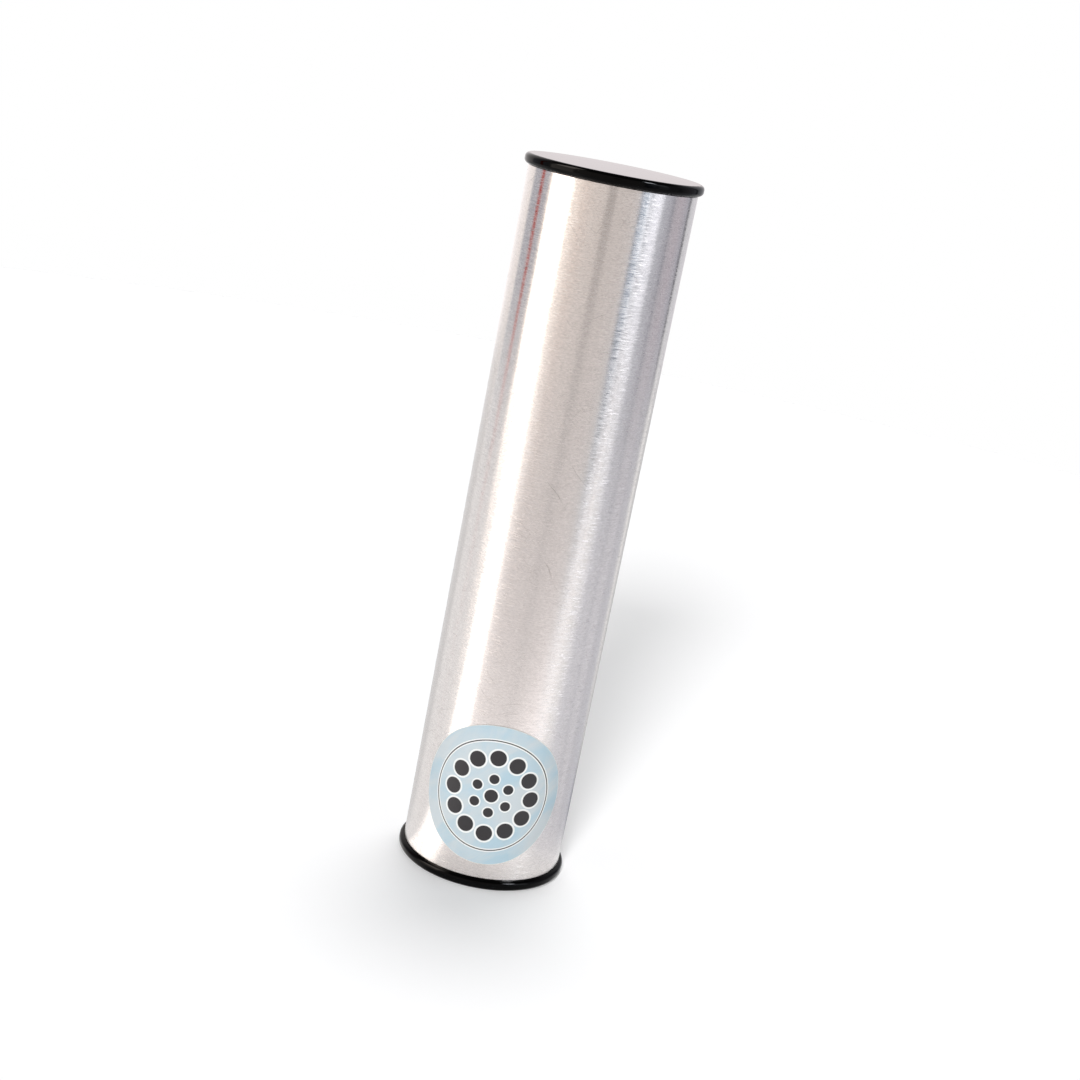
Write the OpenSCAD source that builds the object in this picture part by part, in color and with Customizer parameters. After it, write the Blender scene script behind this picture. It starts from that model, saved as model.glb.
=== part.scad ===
// Ganza shaker: a drawn aluminium tube, a moulded push-in cap at each end, a round
// sticker wrapped on the wall, and a loose charge of steel shot inside.
// Millimetres. +Z runs along the tube, z = 0 is the face that it stands on, and the
// sticker faces -Y.

/* [Tube] */
// Outside diameter of the tube
tube_d = 50.8; // [44:0.1:60]
// Length of the bare tube, between the two flanges
tube_len = 216; // [120:1:320]
// Wall of the tube
tube_wall = 1.2; // [0.8:0.1:2]
// Bevel on the four cut edges of the tube
tube_bevel = 0.2; // [0.1:0.05:0.35]

/* [Caps] */
// How far the flange stands out past the tube, all round
flange_lip = 1.4; // [0.6:0.1:3]
// Thickness of the flange, which stays outside the tube
flange_thick = 3.2; // [2.8:0.1:5]
// Rounding of the flange's outer edges
flange_round = 1.3; // [0.4:0.1:1.3]
// Wall between the cap's outer face and its hollow
face_wall = 2.2; // [1.4:0.1:3]
// How deep the plug reaches into the tube
plug_depth = 14; // [10:0.5:20]
// Wall of the plug
plug_wall = 1.6; // [1.2:0.1:2.4]
// Fillet between the cap's inner floor and the plug
floor_fillet = 1; // [0.4:0.1:1.4]
// Retaining fins round the plug
fin_count = 3; // [2:1:4]
// How far each fin stands out from the plug
fin_height = 0.6; // [0.3:0.1:0.9]
// Length of each fin along the plug, from its sharp back to its root
fin_length = 2.2; // [1.2:0.1:2.2]
// Width of the land on each fin's tip
fin_land = 0.3; // [0.1:0.1:0.6]
// Bevel on the plug's leading edge
lead_bevel = 0.8; // [0.4:0.1:1]

/* [Sticker] */
// Diameter of the sticker before it is wrapped on the tube
sticker_d = 46; // [20:0.5:56]
// Thickness of the sticker
sticker_thick = 0.2; // [0.1:0.05:0.4]
// Bare wall between the bottom cap's flange and the sticker's lower edge
sticker_gap = 5; // [1:0.1:40]

/* [Shot] */
// Diameter of one steel ball
shot_d = 4.5; // [3.4:0.1:5]
// Layers of balls that lie on the bottom cap's floor
shot_layers = 2; // [1:1:4]

/* [Hidden] */
$fn = 96;

// Gap between a fin's tip and the bore that it grips
fin_clear = 0.05;
// Gap left for the sticker's glue
glue_gap = 0.02;
// Least gap between two balls, and between a ball and the floor that it lies on
shot_clear = 0.1;
// Gap between the outermost balls and the plug's inner wall
shot_wall_clear = 0.3;
// How far a cutting or joining shape runs past the face that it meets
overrun = 1;
// Corners of the sticker's outline
sticker_corners = 120;

tube_r = tube_d / 2;
bore_r = tube_r - tube_wall;
total_len = tube_len + 2 * flange_thick;

flange_r = tube_r + flange_lip;
fin_tip_r = bore_r - fin_clear;
plug_r = fin_tip_r - fin_height;
hollow_r = plug_r - plug_wall;
plug_end = flange_thick + plug_depth;
fin_pitch = (plug_depth - lead_bevel) / fin_count;

sticker_in_r = tube_r + glue_gap;
sticker_out_r = sticker_in_r + sticker_thick;
sticker_height = flange_thick + sticker_gap + sticker_d / 2;

// The balls lie in rings one pitch apart, so any ring can run round the axis by itself
shot_pitch = shot_d + shot_clear;
rim_ring_r = hollow_r - shot_wall_clear - shot_d / 2;
ring_count = floor(rim_ring_r / shot_pitch) + 1;
shot_floor = face_wall + shot_clear + shot_d / 2;

// Radius of a ring, counted inwards from 0 at the rim; the last may be a single ball
function ring_r(ring) =
    let (r = rim_ring_r - ring * shot_pitch) r < shot_pitch / 2 ? 0 : r;

// How many balls a ring holds side by side
function ring_balls(ring) =
    ring_r(ring) == 0 ? 1 : floor(180 / asin(shot_pitch / 2 / ring_r(ring)));

// Level distance from a ball to those that it sits between in the layer below
function ball_step(ring) = 2 * ring_r(ring) * sin(90 / ring_balls(ring));

// Height that each layer of a ring adds, with every ball in the dip between two others
function layer_rise(ring) = sqrt(pow(shot_pitch, 2) - pow(ball_step(ring), 2));

shot_height = shot_d + (shot_layers - 1) * max([for (ring = [0 : ring_count - 1]) layer_rise(ring)]);
// Free way of the shot, from the bottom cap's floor to the top cap's
shot_travel = total_len - 2 * (face_wall + shot_clear) - shot_height;
shot_top = face_wall + shot_clear + shot_height;
echo(total_len = total_len, shot_top = shot_top, shot_travel = shot_travel);
echo(balls_by_ring = shot_layers * [for (ring = [0 : ring_count - 1]) ring_balls(ring)]);

// Half section of the flange: a disc whose outer edges are rounded
module flange_section() {
    square([flange_r - flange_round, flange_thick]);
    translate([0, flange_round]) square([flange_r, flange_thick - 2 * flange_round]);
    for (edge = [flange_round, flange_thick - flange_round])
        translate([flange_r - flange_round, edge]) circle(flange_round);
}

// Half section of one fin, with its sharp back towards the flange
module fin_section() {
    polygon([
        [plug_r - plug_wall / 2, 0],
        [fin_tip_r, 0],
        [fin_tip_r, fin_land],
        [plug_r, fin_length],
        [plug_r - plug_wall / 2, fin_length]
    ]);
}

// Half section of the plug with its bevelled leading edge and its fins
module plug_section() {
    polygon([
        [0, face_wall / 2],
        [plug_r, face_wall / 2],
        [plug_r, plug_end - lead_bevel],
        [plug_r - lead_bevel, plug_end],
        [0, plug_end]
    ]);
    for (fin = [1 : fin_count])
        translate([0, plug_end - lead_bevel - fin * fin_pitch + (fin_pitch - fin_length) / 2])
            fin_section();
}

// Half section of the hollow, open at the plug's end, with a filleted floor
module hollow_section() {
    translate([0, face_wall])
        square([hollow_r - floor_fillet, plug_end - face_wall + overrun]);
    translate([0, face_wall + floor_fillet])
        square([hollow_r, plug_end - face_wall - floor_fillet + overrun]);
    translate([hollow_r - floor_fillet, face_wall + floor_fillet]) circle(floor_fillet);
}

// One moulded cap, with its outer face on z = 0 and its plug upwards
module cap() {
    rotate_extrude()
        difference() {
            union() {
                flange_section();
                plug_section();
            }
            hollow_section();
        }
}

// The balls of the rings from first to last
module shot_rings(first, last) {
    for (ring = [first : last], layer = [0 : shot_layers - 1], ball = [0 : ring_balls(ring) - 1])
        rotate([0, 0, (ball + layer / 2) * 360 / ring_balls(ring)])
            translate([ring_r(ring), 0, shot_floor + layer * layer_rise(ring)])
                sphere(d = shot_d);
}

// Drawn tube, cut square and bevelled at both ends
module tube() {
    color([0.80, 0.78, 0.76])
        translate([0, 0, flange_thick])
            rotate_extrude()
                polygon([
                    [bore_r, tube_bevel],
                    [bore_r + tube_bevel, 0],
                    [tube_r - tube_bevel, 0],
                    [tube_r, tube_bevel],
                    [tube_r, tube_len - tube_bevel],
                    [tube_r - tube_bevel, tube_len],
                    [bore_r + tube_bevel, tube_len],
                    [bore_r, tube_len - tube_bevel]
                ]);
}

module bottom_cap() {
    color([0.05, 0.05, 0.05]) cap();
}

module top_cap() {
    color([0.05, 0.05, 0.05])
        translate([0, 0, total_len]) rotate([180, 0, 0]) cap();
}

// Round sticker, rolled on to the wall: its outline is a circle on the unrolled surface
module sticker() {
    color([0.76, 0.87, 0.92])
        intersection() {
            translate([0, 0, sticker_height - sticker_d / 2 - overrun])
                difference() {
                    cylinder(r = sticker_out_r, h = sticker_d + 2 * overrun);
                    translate([0, 0, -overrun])
                        cylinder(r = sticker_in_r, h = sticker_d + 4 * overrun);
                }
            translate([0, 0, sticker_height])
                rotate([90, 0, 0])
                    linear_extrude(sticker_out_r + overrun)
                        polygon([
                            for (corner = [0 : sticker_corners - 1])
                                let (
                                    turn = corner * 360 / sticker_corners,
                                    wrap = sticker_d / 2 * cos(turn) / sticker_out_r * 180 / PI
                                )
                                [sticker_out_r * sin(wrap), sticker_d / 2 * sin(turn)]
                        ]);
        }
}

// Inner rings of shot
module shot_core() {
    color([0.55, 0.56, 0.58]) shot_rings(2, ring_count - 1);
}

// Second ring from the wall
module shot_middle_ring() {
    color([0.62, 0.63, 0.65]) shot_rings(1, 1);
}

// Ring that runs along the wall
module shot_outer_ring() {
    color([0.69, 0.70, 0.72]) shot_rings(0, 0);
}

tube();
bottom_cap();
top_cap();
sticker();
shot_core();
shot_middle_ring();
shot_outer_ring();
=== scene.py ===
# Ganza shaker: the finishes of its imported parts, a small studio round it and the camera.
# Metres, +Z up the tube, the sticker faces -Y. Values whose names end in Mm are in millimetres.
import math
import bpy
from mathutils import Matrix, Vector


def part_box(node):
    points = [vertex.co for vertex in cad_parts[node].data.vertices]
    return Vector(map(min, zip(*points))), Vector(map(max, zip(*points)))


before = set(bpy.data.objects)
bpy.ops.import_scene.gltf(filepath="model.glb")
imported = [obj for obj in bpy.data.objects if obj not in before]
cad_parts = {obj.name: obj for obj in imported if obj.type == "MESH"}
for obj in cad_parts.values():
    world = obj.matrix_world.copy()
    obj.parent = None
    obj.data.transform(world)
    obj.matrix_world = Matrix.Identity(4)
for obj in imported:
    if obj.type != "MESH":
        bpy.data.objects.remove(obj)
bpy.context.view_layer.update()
print("frame loaded:", ", ".join(sorted(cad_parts)))

noiseSpan = {"From Min": 0.3, "From Max": 0.7}  # nearly all of a noise's values lie between these


def linearColour(code):  # sRGB hex to the linear colour that a socket takes
    shares = [int(code[i:i + 2], 16) / 255 for i in (1, 3, 5)]
    return [s / 12.92 if s <= 0.04045 else ((s + 0.055) / 1.055) ** 2.4 for s in shares] + [1]


def addNode(tree, kind, inputs=None, **settings):
    # An input may be a value, a socket, or a node, which then stands for its first output
    node = tree.nodes.new("ShaderNode" + kind)
    for name, value in settings.items():
        setattr(node, name, value)
    for name, value in (inputs or {}).items():
        if isinstance(value, bpy.types.Node):
            value = value.outputs[0]
        if isinstance(value, bpy.types.NodeSocket):
            tree.links.new(value, node.inputs[name])
        else:
            node.inputs[name].default_value = value
    return node


def setStops(ramp, stops):  # stops: (place from 0 to 1, sRGB hex)
    elements = ramp.color_ramp.elements
    while len(elements) < len(stops):
        elements.new(1)
    for element, (place, code) in zip(elements, stops):
        element.position = place
        element.color = linearColour(code)


def newMaterial(name):
    material = bpy.data.materials.new(name)
    material.use_nodes = True
    material.node_tree.nodes.clear()
    return material, material.node_tree


def inMillimetres(tree):  # where the surface is, in the CAD frame
    place = addNode(tree, "TexCoord").outputs["Object"]
    return addNode(tree, "VectorMath", {0: place, "Scale": 1000}, operation="SCALE")


def heightAndBearing(tree, place):  # bearing in radians from the sticker's side, plus to the right
    apart = addNode(tree, "SeparateXYZ", {0: place})
    toFront = addNode(tree, "Math", {0: apart.outputs[1], 1: -1}, operation="MULTIPLY")
    turn = addNode(tree, "Math", {0: apart.outputs[0], 1: toFront}, operation="ARCTAN2")
    return apart.outputs[2], turn


def addSpecks(tree, millimetres, spacing, size, share):  # cells, of which that share holds a round speck
    cells = addNode(tree, "TexVoronoi", {"Vector": millimetres, "Scale": 1 / spacing})
    picked = addNode(tree, "SeparateColor", {0: cells.outputs["Color"]})
    chosen = addNode(tree, "Math", {0: picked, 1: 1 - share}, operation="GREATER_THAN")
    edge = size / spacing / 2
    inside = addNode(tree, "MapRange", {"Value": cells.outputs["Distance"],
                                        "From Min": edge, "From Max": edge / 2})
    return addNode(tree, "Math", {0: inside, 1: chosen}, operation="MULTIPLY")


def dressNode(nodeName, material):
    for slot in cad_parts[nodeName].material_slots:
        slot.material = material


# Tube
tubeFinish = {
    "colour": "#E0DBD8",       # bare drawn aluminium
    "grainColour": "#CCC7C4",  # the deeper lines of the grain
    "markColour": "#857F7B",   # where a scratch or a pit holds dirt
    "roughness": 0.21,
    "markRoughness": 0.2,      # what a mark adds
    "strokeRoughness": 0.14,   # from the smoothest stroke of the grit to the roughest
    "anisotropy": 0.92,
    "wallRadiusMm": 25.4,
    # Length and width. Real grain is about 0.05 mm wide: it is drawn as coarse as it needs to show.
    "grainMm": (8, 0.35),
    "dashMm": (0.9, 0.36),     # short dashes where the grit bit and let go
    "dashShare": 0.7,
    "strokeMm": (2.8, 0.28),   # stretches of grain that slant alike
    "strokeSlope": 0.5,        # rise for run of the steepest stroke
    "strokeTilt": 0.035,       # radians that a stroke leans to the side
    "waveMm": 26,              # long soft waves from the drawing, and radians that they lean
    "waveTilt": 0.012,
    "palmBearing": -60,        # the flank that the palm has rubbed smooth, where strokes slant less
    "palmHalf": 22,            # degrees to either side, and how softly it ends
    "palmFade": 16,
    "palmShare": 0.2,          # what is left of their slant there
    "marks": [  # families: slant in degrees, length and width in mm, least noise that shows, depth
        (-50, 22, 0.5, 0.82, 0.45),    # long scratches, few
        (24, 18, 0.5, 0.82, 0.4),
        (-42, 6, 0.45, 0.745, 0.16),   # short scuffs, side by side
        (58, 6, 0.45, 0.755, 0.16),
    ],
    "markFade": 0.08,          # noise over which a mark comes in
    "markBendMm": 4,           # how far a scratch wanders, and how often
    "bendsPerMm": 0.08,
    "patchesPerMm": 0.06,      # marks come in patches, where the wall is handled most
    "wornFrom": 0.46,          # noise where a patch starts, and where it is full
    "wornTo": 0.64,
    "unwornShare": 0.1,        # what is left of a mark elsewhere
    "pitSpacingMm": 8,
    "pitMm": 0.34,
    "pitShare": 0.3,           # of the cells hold one
}


def drawnAluminium(finish):
    # Aluminium tube, drawn and then brushed round with grit: reflections stay sharp round the tube and
    # smear along it, light from high up frays into short strokes, and handling leaves scuffs and pits.
    material, tree = newMaterial("drawnAluminiumBrushedRound")
    millimetres = inMillimetres(tree)

    def grainNoise(size, detail, offset):  # noise stretched level round the tube
        length, width = size
        scale = [1 / length, 1 / length, 1 / width]
        spot = addNode(tree, "VectorMath", {0: millimetres, 1: scale, 2: offset}, operation="MULTIPLY_ADD")
        return addNode(tree, "TexNoise", {"Vector": spot, "Scale": 1, "Detail": detail, "Roughness": 0.6})

    grain = grainNoise(finish["grainMm"], 2, [0, 0, 0])
    dash = grainNoise(finish["dashMm"], 1, [7, 43, 29])
    stroke = grainNoise(finish["strokeMm"], 1, [31, 17, 53])
    wave = addNode(tree, "TexNoise", {"Vector": millimetres, "Scale": 1 / finish["waveMm"], "Detail": 1})

    # Marks on the unrolled wall: the peaks of a noise drawn out along each family's slant
    height, turn = heightAndBearing(tree, millimetres)
    across = addNode(tree, "Math", {0: turn, 1: finish["wallRadiusMm"]}, operation="MULTIPLY")
    unrolled = addNode(tree, "CombineXYZ", {0: across, 1: height})
    drift = addNode(tree, "TexNoise", {"Vector": unrolled, "Scale": finish["bendsPerMm"], "Detail": 1})
    bent = addNode(tree, "VectorMath",
                   {0: drift.outputs["Color"], 1: [finish["markBendMm"]] * 3, 2: unrolled},
                   operation="MULTIPLY_ADD")
    marks = 0
    for slant, length, width, least, depth in finish["marks"]:
        turned = addNode(tree, "VectorRotate", {"Vector": bent, "Angle": math.radians(-slant)},
                         rotation_type="Z_AXIS")
        drawn = addNode(tree, "VectorMath", {0: turned, 1: [1 / length, 1 / width, 0]},
                        operation="MULTIPLY")
        line = addNode(tree, "TexNoise", {"Vector": drawn, "Scale": 1, "Detail": 0}, noise_dimensions="2D")
        shown = addNode(tree, "MapRange", {"Value": line, "From Min": least,
                                           "From Max": least + finish["markFade"], "To Max": depth})
        marks = addNode(tree, "Math", {0: shown, 1: marks}, operation="MAXIMUM")
    worn = addNode(tree, "TexNoise", {"Vector": unrolled, "Scale": finish["patchesPerMm"], "Detail": 2})
    wornHere = addNode(tree, "MapRange", {"Value": worn, "From Min": finish["wornFrom"],
                                          "From Max": finish["wornTo"], "To Min": finish["unwornShare"]})
    scuff = addNode(tree, "Math", {0: marks, 1: wornHere}, operation="MULTIPLY")
    pit = addSpecks(tree, millimetres, finish["pitSpacingMm"], finish["pitMm"], finish["pitShare"])
    mark = addNode(tree, "Math", {0: scuff, 1: pit}, operation="MAXIMUM")

    both = addNode(tree, "Mix", {"Factor": finish["dashShare"], 2: grain, 3: dash})
    deep = addNode(tree, "MapRange", {"Value": both, **noiseSpan})
    grained = addNode(tree, "Mix", {"Factor": deep, 6: linearColour(finish["colour"]),
                                    7: linearColour(finish["grainColour"])}, data_type="RGBA")
    tint = addNode(tree, "Mix", {"Factor": mark, 6: grained.outputs[2],
                                 7: linearColour(finish["markColour"])}, data_type="RGBA")
    strokeRough = addNode(tree, "MapRange", {"Value": stroke, **noiseSpan,
                                             "To Min": finish["roughness"] - finish["strokeRoughness"] / 2,
                                             "To Max": finish["roughness"] + finish["strokeRoughness"] / 2})
    rough = addNode(tree, "Math", {0: mark, 1: finish["markRoughness"], 2: strokeRough},
                    operation="MULTIPLY_ADD")

    # How far each stroke swings from the grain's run, from -1 to 1, and less where the palm rubs
    fromPalm = addNode(tree, "Math", {0: turn, 1: math.radians(finish["palmBearing"])}, operation="SUBTRACT")
    besidePalm = addNode(tree, "Math", {0: fromPalm}, operation="ABSOLUTE")
    unrubbed = addNode(tree, "MapRange",
                       {"Value": besidePalm, "To Min": finish["palmShare"],
                        "From Min": math.radians(finish["palmHalf"] - finish["palmFade"] / 2),
                        "From Max": math.radians(finish["palmHalf"] + finish["palmFade"] / 2)},
                       interpolation_type="SMOOTHSTEP")
    swing = addNode(tree, "MapRange", {"Value": stroke, "To Min": -1, "To Max": 1})
    bite = addNode(tree, "Math", {0: swing, 1: unrubbed}, operation="MULTIPLY")

    # The grain runs round the tube, but each stroke of the grit slants a little, up or down
    roundTangent = addNode(tree, "Tangent", direction_type="RADIAL", axis="Z")
    slope = addNode(tree, "Math", {0: bite, 1: finish["strokeSlope"]}, operation="MULTIPLY")
    upward = addNode(tree, "VectorMath", {0: [0, 0, 1], "Scale": slope}, operation="SCALE")
    slanted = addNode(tree, "VectorMath", {0: roundTangent, 1: upward}, operation="ADD")
    along = addNode(tree, "VectorMath", {0: slanted}, operation="NORMALIZE")

    # Each stroke also leans a hair to the side, and the wall isn't perfectly round
    normal = addNode(tree, "NewGeometry").outputs["Normal"]
    aside = addNode(tree, "VectorMath", {0: [0, 0, 1], 1: normal}, operation="CROSS_PRODUCT")
    strokeLean = addNode(tree, "Math", {0: bite, 1: finish["strokeTilt"]}, operation="MULTIPLY")
    waveLean = addNode(tree, "MapRange", {"Value": wave, "To Min": -finish["waveTilt"],
                                          "To Max": finish["waveTilt"]})
    lean = addNode(tree, "Math", {0: strokeLean, 1: waveLean}, operation="ADD")
    sideways = addNode(tree, "VectorMath", {0: aside, "Scale": lean}, operation="SCALE")
    leaned = addNode(tree, "VectorMath", {0: normal, 1: sideways}, operation="ADD")
    facing = addNode(tree, "VectorMath", {0: leaned}, operation="NORMALIZE")
    surface = addNode(tree, "BsdfPrincipled",
                      {"Base Color": tint.outputs[2], "Metallic": 1, "Roughness": rough,
                       "Anisotropic": finish["anisotropy"],
                       "Anisotropic Rotation": 0.25,  # a quarter turn, so that it smears across the grain
                       "Tangent": along, "Normal": facing})
    addNode(tree, "OutputMaterial", {"Surface": surface})
    return material


dressNode("tube", drawnAluminium(tubeFinish))
print("tube dressed")

# Caps
capFinish = {
    "colour": "#040404",
    "dustColour": "#2E2D2C",
    "roughness": 0.045,
    "scuffRoughness": 0.045,   # what a rubbed patch adds
    "ior": 1.5,
    "specular": 0.065,         # black vinyl compound reflects less than clear plastic
    "peelMm": 2.6,             # orange peel: its width, its height and how much of that shows
    "peelHeightMm": 0.2,
    "peelStrength": 0.05,
    "sinkRadiusMm": 22.8,      # over the plug's wall, where the face shrank as it cooled
    "sinkWidthMm": 2.4,
    "sinkShare": 0.6,          # its depth against the orange peel's
    "rubbedPerMm": 0.09,       # rubbed patches, and the noise where one starts and is full
    "rubbedFrom": 0.5,
    "rubbedTo": 0.75,
    "dustSpacingMm": 2.4,
    "dustMm": 0.12,
    "dustShare": 0.2,          # of the cells hold a speck
}


def mouldedVinyl(finish):
    # Soft black vinyl, moulded in a polished tool: deep black in front, a clear reflection at a low
    # angle, a slight orange peel, a faint sink ring over the plug and a little dust.
    material, tree = newMaterial("blackVinylGlossMoulded")
    millimetres = inMillimetres(tree)
    peel = addNode(tree, "TexNoise", {"Vector": millimetres, "Scale": 1 / finish["peelMm"], "Detail": 1})
    apart = addNode(tree, "SeparateXYZ", {0: millimetres})
    flat = addNode(tree, "CombineXYZ", {0: apart.outputs[0], 1: apart.outputs[1]})
    radius = addNode(tree, "VectorMath", {0: flat}, operation="LENGTH").outputs["Value"]
    fromRing = addNode(tree, "Math", {0: radius, 1: finish["sinkRadiusMm"]}, operation="SUBTRACT")
    ringShare = addNode(tree, "Math", {0: fromRing, 1: finish["sinkWidthMm"]}, operation="DIVIDE")
    squared = addNode(tree, "Math", {0: ringShare, 1: ringShare}, operation="MULTIPLY")
    sink = addNode(tree, "Math", {0: squared, 1: 1}, operation="MINIMUM")
    height = addNode(tree, "Math", {0: sink, 1: finish["sinkShare"], 2: peel}, operation="MULTIPLY_ADD")
    bump = addNode(tree, "Bump", {"Strength": finish["peelStrength"],
                                  "Distance": finish["peelHeightMm"] / 1000, "Height": height})
    dust = addSpecks(tree, millimetres, finish["dustSpacingMm"], finish["dustMm"], finish["dustShare"])
    tint = addNode(tree, "Mix", {"Factor": dust, 6: linearColour(finish["colour"]),
                                 7: linearColour(finish["dustColour"])}, data_type="RGBA")
    rubbed = addNode(tree, "TexNoise", {"Vector": millimetres, "Scale": finish["rubbedPerMm"],
                                        "Detail": 4, "Roughness": 0.7})
    scuff = addNode(tree, "MapRange", {"Value": rubbed, "From Min": finish["rubbedFrom"],
                                       "From Max": finish["rubbedTo"], "To Min": finish["roughness"],
                                       "To Max": finish["roughness"] + finish["scuffRoughness"]})
    surface = addNode(tree, "BsdfPrincipled",
                      {"Base Color": tint.outputs[2], "Roughness": scuff, "IOR": finish["ior"],
                       "Specular IOR Level": finish["specular"], "Normal": bump})
    addNode(tree, "OutputMaterial", {"Surface": surface})
    return material


capVinyl = mouldedVinyl(capFinish)
for cap in ("bottom_cap", "top_cap"):
    dressNode(cap, capVinyl)
print("caps dressed")

# Sticker
stickerPrint = {
    "sky": [(0.38, "#B7D0DC"), (0.56, "#CED7DB")],  # noise where it is bare sky and where it is cloud
    "inkColour": "#333133",
    "haloColour": "#F2F4F3",
    "paperEdgeColour": "#EFEFEA",
    "cloudMm": (24, 10),       # brushed clouds: length and width of a streak, and how it slants
    "cloudSlant": 42,
    "radiusMm": 23,
    "cutEdgeMm": (0.16, 0.06),  # in from the cut: where white paper starts to show, and shows in full
    "rings": [  # bead rings from the middle out: beads, then ring radius, bead radius, halo width in mm
        (1, 0, 2.1, 0.5),
        (6, 5.6, 1.55, 0.45),
        (12, 12.6, 2.55, 0.6),
    ],
    "keylineRadiusMm": 18.2,
    "keylineWidthMm": 0.35,
    "keylineHaloWidthMm": 1.12,
    "edgeMm": 0.06,            # width over which a printed edge fades
    "roughness": 0.45,
    "roughnessSwing": 0.04,
    "fibresPerMm": 2.2,
    "fibreHeightMm": 0.05,
    "fibreStrength": 0.08,
    "ior": 1.45,
    "specular": 0.35,
}


def coatedPaper(design, low, high):
    # Coated paper sticker, printed offset: a pale cloudy sky under plain charcoal beads with white
    # halos, a soft satin varnish, and a thin white die-cut edge.
    material, tree = newMaterial("coatedPaperPrintedSatin")
    millimetres = inMillimetres(tree)
    height, turn = heightAndBearing(tree, millimetres)
    wrapRadius = -low[1] * 1000
    across = addNode(tree, "Math", {0: turn, 1: wrapRadius}, operation="MULTIPLY")
    middle = (low[2] + high[2]) / 2 * 1000
    up = addNode(tree, "Math", {0: height, 1: middle}, operation="SUBTRACT")
    flat = addNode(tree, "CombineXYZ", {0: across, 1: up})
    radius = addNode(tree, "VectorMath", {0: flat}, operation="LENGTH").outputs["Value"]
    bearing = addNode(tree, "Math", {0: across, 1: up}, operation="ARCTAN2")

    length, width = design["cloudMm"]
    slanted = addNode(tree, "VectorRotate",
                      {"Vector": flat, "Angle": math.radians(-design["cloudSlant"])}, rotation_type="Z_AXIS")
    drawn = addNode(tree, "VectorMath", {0: slanted, 1: [1 / length, 1 / width, 0]},
                    operation="MULTIPLY")
    clouds = addNode(tree, "TexNoise", {"Vector": drawn, "Scale": 1, "Detail": 5, "Roughness": 0.55,
                                        "Distortion": 0.5})
    sky = addNode(tree, "ValToRGB", {0: clouds})
    setStops(sky, design["sky"])
    colour = sky.outputs[0]

    def printed(colour, distance, edge, ink):  # ink wherever distance is less than edge
        cover = addNode(tree, "MapRange", {"Value": distance, "From Min": edge + design["edgeMm"] / 2,
                                           "From Max": edge - design["edgeMm"] / 2})
        return addNode(tree, "Mix", {"Factor": cover, 6: colour, 7: linearColour(ink)},
                       data_type="RGBA").outputs[2]

    fromKeyline = addNode(tree, "Math", {0: radius, 1: design["keylineRadiusMm"]}, operation="SUBTRACT")
    besideKeyline = addNode(tree, "Math", {0: fromKeyline}, operation="ABSOLUTE")
    colour = printed(colour, besideKeyline, design["keylineHaloWidthMm"] / 2, design["haloColour"])
    colour = printed(colour, besideKeyline, design["keylineWidthMm"] / 2, design["inkColour"])
    for beads, ringRadius, beadRadius, halo in design["rings"]:
        sector = 2 * math.pi / beads
        folded = addNode(tree, "Math", {0: bearing, 1: -sector / 2, 2: sector / 2}, operation="WRAP")
        rightward = addNode(tree, "Math", {0: folded}, operation="SINE")
        outward = addNode(tree, "Math", {0: folded}, operation="COSINE")
        sideX = addNode(tree, "Math", {0: rightward, 1: radius}, operation="MULTIPLY")
        sideY = addNode(tree, "Math", {0: outward, 1: radius, 2: -ringRadius}, operation="MULTIPLY_ADD")
        aside = addNode(tree, "CombineXYZ", {0: sideX, 1: sideY})
        distance = addNode(tree, "VectorMath", {0: aside}, operation="LENGTH").outputs["Value"]
        colour = printed(colour, distance, beadRadius + halo, design["haloColour"])
        colour = printed(colour, distance, beadRadius, design["inkColour"])

    edgeStart, edgeFull = design["cutEdgeMm"]
    cutEdge = addNode(tree, "MapRange", {"Value": radius, "From Min": design["radiusMm"] - edgeStart,
                                         "From Max": design["radiusMm"] - edgeFull})
    trimmed = addNode(tree, "Mix", {"Factor": cutEdge, 6: colour,
                                    7: linearColour(design["paperEdgeColour"])}, data_type="RGBA")
    fibre = addNode(tree, "TexNoise", {"Vector": millimetres, "Scale": design["fibresPerMm"], "Detail": 3})
    bump = addNode(tree, "Bump", {"Strength": design["fibreStrength"],
                                  "Distance": design["fibreHeightMm"] / 1000, "Height": fibre})
    satin = addNode(tree, "MapRange", {"Value": fibre, **noiseSpan,
                                       "To Min": design["roughness"] - design["roughnessSwing"],
                                       "To Max": design["roughness"] + design["roughnessSwing"]})
    surface = addNode(tree, "BsdfPrincipled",
                      {"Base Color": trimmed.outputs[2], "Roughness": satin, "IOR": design["ior"],
                       "Specular IOR Level": design["specular"], "Normal": bump})
    addNode(tree, "OutputMaterial", {"Surface": surface})
    return material


dressNode("sticker", coatedPaper(stickerPrint, *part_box("sticker")))
print("sticker dressed")

# Shot
shotFinish = {
    "tint": [(0.42, "#8C8D90"), (0.64, "#6A6867")],  # noise where it is bright and where it is dull
    "blotchMm": 2.2,
    "roughness": (0.30, 0.52),  # on a bright patch, on a dull one
    "knockedFrom": 0.4,         # noise where the knocks start to tell, and tell in full
    "knockedTo": 0.65,
    "blotchHeightMm": 0.05,
    "blotchStrength": 0.15,
}


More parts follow.
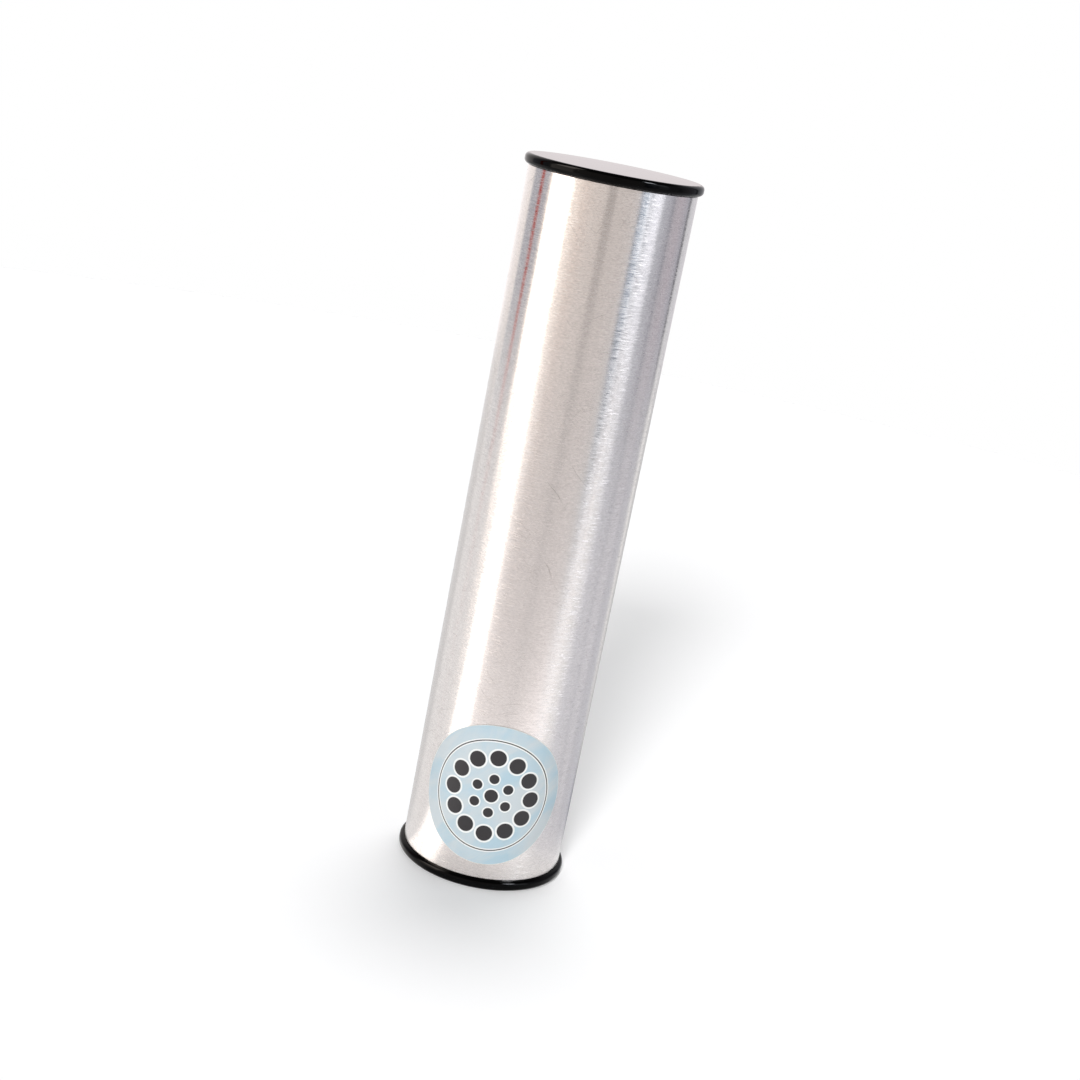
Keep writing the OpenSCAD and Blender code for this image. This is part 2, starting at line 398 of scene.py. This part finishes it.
def tumbledSteel(finish):
    # Plain carbon steel shot, tumbled in oil: grey, softly shining, with dull blotches from knocks.
    material, tree = newMaterial("carbonSteelShotTumbled")
    blotch = addNode(tree, "TexNoise", {"Vector": inMillimetres(tree), "Scale": 1 / finish["blotchMm"],
                                        "Detail": 4, "Roughness": 0.65})
    tint = addNode(tree, "ValToRGB", {0: blotch})
    setStops(tint, finish["tint"])
    smoothest, dullest = finish["roughness"]
    rough = addNode(tree, "MapRange", {"Value": blotch, "From Min": finish["knockedFrom"],
                                       "From Max": finish["knockedTo"],
                                       "To Min": smoothest, "To Max": dullest})
    bump = addNode(tree, "Bump", {"Strength": finish["blotchStrength"],
                                  "Distance": finish["blotchHeightMm"] / 1000, "Height": blotch})
    surface = addNode(tree, "BsdfPrincipled",
                      {"Base Color": tint, "Metallic": 1, "Roughness": rough, "Normal": bump})
    addNode(tree, "OutputMaterial", {"Surface": surface})
    return material


shotSteel = tumbledSteel(shotFinish)
for shot in ("shot_core", "shot_middle_ring", "shot_outer_ring"):
    dressNode(shot, shotSteel)
print("shot dressed")

# Surround: what stands round the table and shows in the gloss, by compass. Bearings in degrees from
# the sticker's side, plus to the right, and rises in degrees above level.
surround = {
    "walls": [  # at this bearing, this colour
        (-180, "#FCF4F5"),
        (-174, "#FCF4F5"),
        (-168, "#FEFAFA"),
        (-129, "#FEF8F6"),
        (-124, "#B4B6BE"),
        (-108, "#B2B4BD"),
        (-107, "#AE301A"),  # a thin red strip
        (-102, "#AE301A"),
        (-101, "#B2B4BD"),
        (-93, "#B1B3BC"),
        (-88, "#E8DDD6"),
        (-44, "#FFF3E9"),
        (-34, "#EFE1D8"),
        (-20, "#E6DDD7"),
        (8, "#D6CFCB"),
        (39, "#D2CCCA"),
        (43, "#54687F"),    # a dark blue one
        (50, "#5E7188"),
        (53, "#C6CEDA"),
        (78, "#BEC2CC"),
        (90, "#B3B5C0"),
        (93, "#9A9CA6"),
        (95, "#9A9CA6"),
        (98, "#B8B5BE"),
        (110, "#BFB9C2"),
        (129, "#B0B2BD"),
        (131, "#6E6F76"),
        (134, "#6E6F76"),
        (139, "#D6D8DE"),
        (168, "#D2D0D4"),
        (174, "#FCF4F5"),
        (180, "#FCF4F5"),
    ],
    "wallLevel": 1.2,
    "ceilingColour": "#2A2A2C",
    "ceilingFrom": 42,
    "ceilingFade": 16,
    "boxes": {
        "left": {"bearing": -69.5, "half": 17, "rise": (-30, 36), "soft": 4,
                 "power": 2.3, "colour": "#FFF4EA"},
        "leftTop": {"bearing": -71, "half": 15, "rise": (28, 60), "soft": 6,
                    "power": 10, "colour": "#FFF4EA"},
        "strip": {"bearing": 49, "half": 5, "rise": (-2, 8), "soft": 4,
                  "power": 1.7, "colour": "#E8F2FC"},
        "rightLow": {"bearing": 69, "half": 5, "rise": (-2, 8), "soft": 4,
                     "power": 0.6, "colour": "#F4F6FF"},
        "right": {"bearing": 67.5, "half": 8, "rise": (-5, 12), "soft": 5,
                  "power": 0.75, "colour": "#F4F6FF"},
        "rightTop": {"bearing": 65, "half": 10, "rise": (12, 34), "soft": 4,
                     "power": 2.8, "colour": "#F4F8FF"},
        "glint": {"bearing": 56, "half": 8, "rise": (38, 50), "soft": 4,
                  "power": 62, "colour": "#F4F8FF"},
    },
    "slit": {"bearing": 2.5, "half": 5.5, "rise": (-1, 12), "soft": 3, "light": 0},  # the lens's dark gap
}


def buildSurround(plan):
    world = bpy.data.worlds.new("studioSurround")
    bpy.context.scene.world = world
    world.cycles_visibility.diffuse = False  # the lamps light everything matt
    world.use_nodes = True
    tree = world.node_tree
    tree.nodes.clear()
    way = addNode(tree, "TexCoord").outputs["Generated"]
    height, turn = heightAndBearing(tree, way)
    bearing = addNode(tree, "Math", {0: turn}, operation="DEGREES")
    rise = addNode(tree, "Math", {0: height}, operation="ARCSINE")
    rise = addNode(tree, "Math", {0: rise}, operation="DEGREES")

    def window(value, middle, half, soft):  # 1 inside the window, 0 outside
        off = addNode(tree, "Math", {0: value, 1: middle}, operation="SUBTRACT")
        off = addNode(tree, "Math", {0: off}, operation="ABSOLUTE")
        return addNode(tree, "MapRange", {"Value": off, "From Min": half + soft / 2,
                                          "From Max": half - soft / 2}, interpolation_type="SMOOTHSTEP")

    def patch(piece):  # its upper and lower edges are twice as soft as its sides
        lowest, highest = piece["rise"]
        sideways = window(bearing, piece["bearing"], piece["half"], piece["soft"])
        upright = window(rise, (lowest + highest) / 2, (highest - lowest) / 2, piece["soft"] * 2)
        return addNode(tree, "Math", {0: sideways, 1: upright}, operation="MULTIPLY")

    share = addNode(tree, "MapRange", {"Value": bearing, "From Min": -180, "From Max": 180})
    walls = addNode(tree, "ValToRGB", {0: share})
    setStops(walls, [((degrees + 180) / 360, code) for degrees, code in plan["walls"]])
    overhead = addNode(tree, "MapRange", {"Value": rise,
                                          "From Min": plan["ceilingFrom"] - plan["ceilingFade"] / 2,
                                          "From Max": plan["ceilingFrom"] + plan["ceilingFade"] / 2},
                       interpolation_type="SMOOTHSTEP")
    room = addNode(tree, "Mix", {"Factor": overhead, 6: walls, 7: linearColour(plan["ceilingColour"])},
                   data_type="RGBA").outputs[2]
    dim = addNode(tree, "Math", {0: patch(plan["slit"]), 1: plan["slit"]["light"] - 1, 2: 1},
                  operation="MULTIPLY_ADD")
    level = addNode(tree, "Math", {0: dim, 1: plan["wallLevel"]}, operation="MULTIPLY")
    room = addNode(tree, "VectorMath", {0: room, "Scale": level}, operation="SCALE")
    for box in plan["boxes"].values():
        power = addNode(tree, "Math", {0: patch(box), 1: box["power"]}, operation="MULTIPLY")
        glow = addNode(tree, "VectorMath", {0: linearColour(box["colour"])[:3], "Scale": power},
                       operation="SCALE")
        room = addNode(tree, "VectorMath", {0: room, 1: glow}, operation="ADD")
    rays = addNode(tree, "LightPath")  # a ray that has left a matt surface sees none of the room
    unbounced = addNode(tree, "Math", {0: rays.outputs["Diffuse Depth"], 1: 0.5}, operation="LESS_THAN")
    mirrored = addNode(tree, "Background", {"Color": room, "Strength": unbounced})
    backdrop = addNode(tree, "Background", {"Color": [1, 1, 1, 1], "Strength": 1})  # the photo's white
    mixed = addNode(tree, "MixShader", {0: rays.outputs["Is Camera Ray"], 1: mirrored, 2: backdrop})
    addNode(tree, "OutputWorld", {"Surface": mixed})


buildSurround(surround)

# Lamps for everything matt. Share is how bright each alone makes a white floor.
lamps = {
    "keyLamp": {"bearing": -10, "rise": 33, "softness": 12, "share": 0.40},
    "overheadLamp": {"bearing": 172, "rise": 77, "softness": 18, "share": 0.48},
    "leftFill": {"bearing": -72, "rise": 40, "softness": 70, "share": 0.06},
    "rightFill": {"bearing": 75, "rise": 40, "softness": 70, "share": 0.06},
}


def buildLamp(name, lamp):
    sun = bpy.data.lights.new(name, "SUN")
    sun.energy = lamp["share"] * math.pi / math.sin(math.radians(lamp["rise"]))
    sun.angle = math.radians(lamp["softness"])
    holder = bpy.data.objects.new(name, sun)
    bpy.context.scene.collection.objects.link(holder)
    holder.rotation_euler = (math.radians(90 - lamp["rise"]), 0, math.radians(lamp["bearing"]))
    holder.visible_glossy = False  # the gloss mirrors the surround instead


for name, lamp in lamps.items():
    buildLamp(name, lamp)

# Floor: matt white board, with a share of glow so that only the shadow falls below white. For the gloss
# alone, painted pools of light and painted shade lie on it further out, standing in for the soft boxes and
# walls.
floorBoard = {
    "radius": 1.0,             # metres
    "sides": 96,
    "colour": "#EFEFF0",
    "glow": 0.16,
    "glowInGloss": 0.25,
    "paintedPools": [  # painted strips of light and shade that run outward, seen only in the gloss: bearing, mm to its right, half width in mm at the tube, what that gains each mm out, mm out where it starts, power (below 0 paints shade), colour
                 # what that gains each mm out, mm out where it starts, power, colour
        (-61, 0, 4, 0.22, 20, 0.85, "#FFF8F2"),
        (60, -60, 38, 0.05, 60, 0.23, "#FFF6F6"),
        (-8, 0, 60, 0.75, 40, 0.16, "#FFE6E4"),
        (2, 0, 60, 0.75, 190, -0.4, "#FFFFFF"),
        (50, 0, 10, 0.10, 560, -0.6, "#FFFFFF"),
        (94, 0, 5, 0.03, 60, -0.09, "#FFFFFF"),
        (104, 0, 20, 0.60, 40, -0.22, "#FFF8D8"),
        (128, 0, 14, 0.22, 40, -0.15, "#FFFFFF"),
        (76, 0, 40, 0.80, 520, -0.18, "#FFFFFF"),
        (168, 0, 20, 0.30, 20, -0.45, "#FFFFFF"),
        (-147, 0, 18, 0.28, 20, -0.28, "#FFFFFF"),
    ],
    "paintedPoolEdge": (1.3, 0.7),   # across a strip, in half widths: where it begins to show, shows in full
    "paintedPoolStart": (0.5, 1.5),  # the same along it, in starts
}


def buildFloor(board):
    turns = [2 * math.pi * side / board["sides"] for side in range(board["sides"])]
    rim = [(board["radius"] * math.cos(turn), board["radius"] * math.sin(turn), 0) for turn in turns]
    mesh = bpy.data.meshes.new("floor")
    mesh.from_pydata(rim, [], [list(range(board["sides"]))])
    floor = bpy.data.objects.new("floor", mesh)
    bpy.context.scene.collection.objects.link(floor)
    material, tree = newMaterial("mattWhiteBoardPaintedPools")
    material.cycles.emission_sampling = "NONE"  # its glow is seen, but lights nothing
    millimetres = inMillimetres(tree)
    inGloss = [board["glowInGloss"]] * 3
    noEdge, fullEdge = board["paintedPoolEdge"]
    noStart, fullStart = board["paintedPoolStart"]
    # each strip paints a pool of light, or of shade where its power is below 0, into the floor's glow for
    # glossy rays only
    for bearing, aside, half, spread, start, power, colour in board["paintedPools"]:
        angle = math.radians(bearing)
        outward = [math.sin(angle), -math.cos(angle), 0]
        rightward = [math.cos(angle), math.sin(angle), 0]
        along = addNode(tree, "VectorMath", {0: millimetres, 1: outward}, operation="DOT_PRODUCT")
        along = along.outputs["Value"]
        across = addNode(tree, "VectorMath", {0: millimetres, 1: rightward}, operation="DOT_PRODUCT")
        off = addNode(tree, "Math", {0: across.outputs["Value"], 1: aside}, operation="SUBTRACT")
        off = addNode(tree, "Math", {0: off}, operation="ABSOLUTE")
        reach = addNode(tree, "Math", {0: along, 1: spread, 2: half}, operation="MULTIPLY_ADD")
        share = addNode(tree, "Math", {0: off, 1: reach}, operation="DIVIDE")
        inside = addNode(tree, "MapRange", {"Value": share, "From Min": noEdge, "From Max": fullEdge},
                         interpolation_type="SMOOTHSTEP")
        begun = addNode(tree, "MapRange", {"Value": along, "From Min": start * noStart,
                                           "From Max": start * fullStart}, interpolation_type="SMOOTHSTEP")
        lit = addNode(tree, "Math", {0: inside, 1: begun}, operation="MULTIPLY")
        lit = addNode(tree, "Math", {0: lit, 1: power}, operation="MULTIPLY")
        change = addNode(tree, "VectorMath", {0: linearColour(colour)[:3], "Scale": lit},
                         operation="SCALE")
        inGloss = addNode(tree, "VectorMath", {0: inGloss, 1: change}, operation="ADD")
    rays = addNode(tree, "LightPath")
    seen = addNode(tree, "Math", {0: rays.outputs["Is Camera Ray"], 1: rays.outputs["Is Transmission Ray"]},
                   operation="MAXIMUM")
    plain = addNode(tree, "Math", {0: seen, 1: board["glow"]}, operation="MULTIPLY")
    mirrored = addNode(tree, "VectorMath", {0: inGloss, "Scale": rays.outputs["Is Glossy Ray"]},
                       operation="SCALE")
    shine = addNode(tree, "VectorMath", {0: mirrored, 1: plain}, operation="ADD")
    matt = addNode(tree, "BsdfDiffuse", {"Color": linearColour(board["colour"])})
    glow = addNode(tree, "Emission", {"Color": shine, "Strength": 1})
    both = addNode(tree, "AddShader", {0: matt, 1: glow})
    addNode(tree, "OutputMaterial", {"Surface": both})
    mesh.materials.append(material)


buildFloor(floorBoard)
print("studio built")

# Camera, from a pinhole fit to the photograph's edges in its 1080 x 1080 frame
cameraPlace = {
    "distance": 0.5415,        # metres in front of the tube's axis
    "height": 0.2550,          # metres
    "pitchDegrees": 15.268,
    "rollDegrees": 11.198,
    "yawDegrees": -0.062,
    "lensMm": 60.42,
}


def placeCamera(place):
    camera = bpy.data.cameras.new("camera")
    camera.lens = place["lensMm"]
    holder = bpy.data.objects.new("camera", camera)
    bpy.context.scene.collection.objects.link(holder)
    bpy.context.scene.camera = holder
    stand = Matrix.Translation((0, -place["distance"], place["height"]))
    turn = Matrix.Rotation(-math.radians(place["yawDegrees"]), 4, "Z")
    tilt = Matrix.Rotation(math.radians(90 - place["pitchDegrees"]), 4, "X")
    roll = Matrix.Rotation(math.radians(place["rollDegrees"]), 4, "Z")
    holder.matrix_world = stand @ turn @ tilt @ roll


placeCamera(cameraPlace)
bpy.context.scene.view_settings.view_transform = "Standard"
print("camera placed")
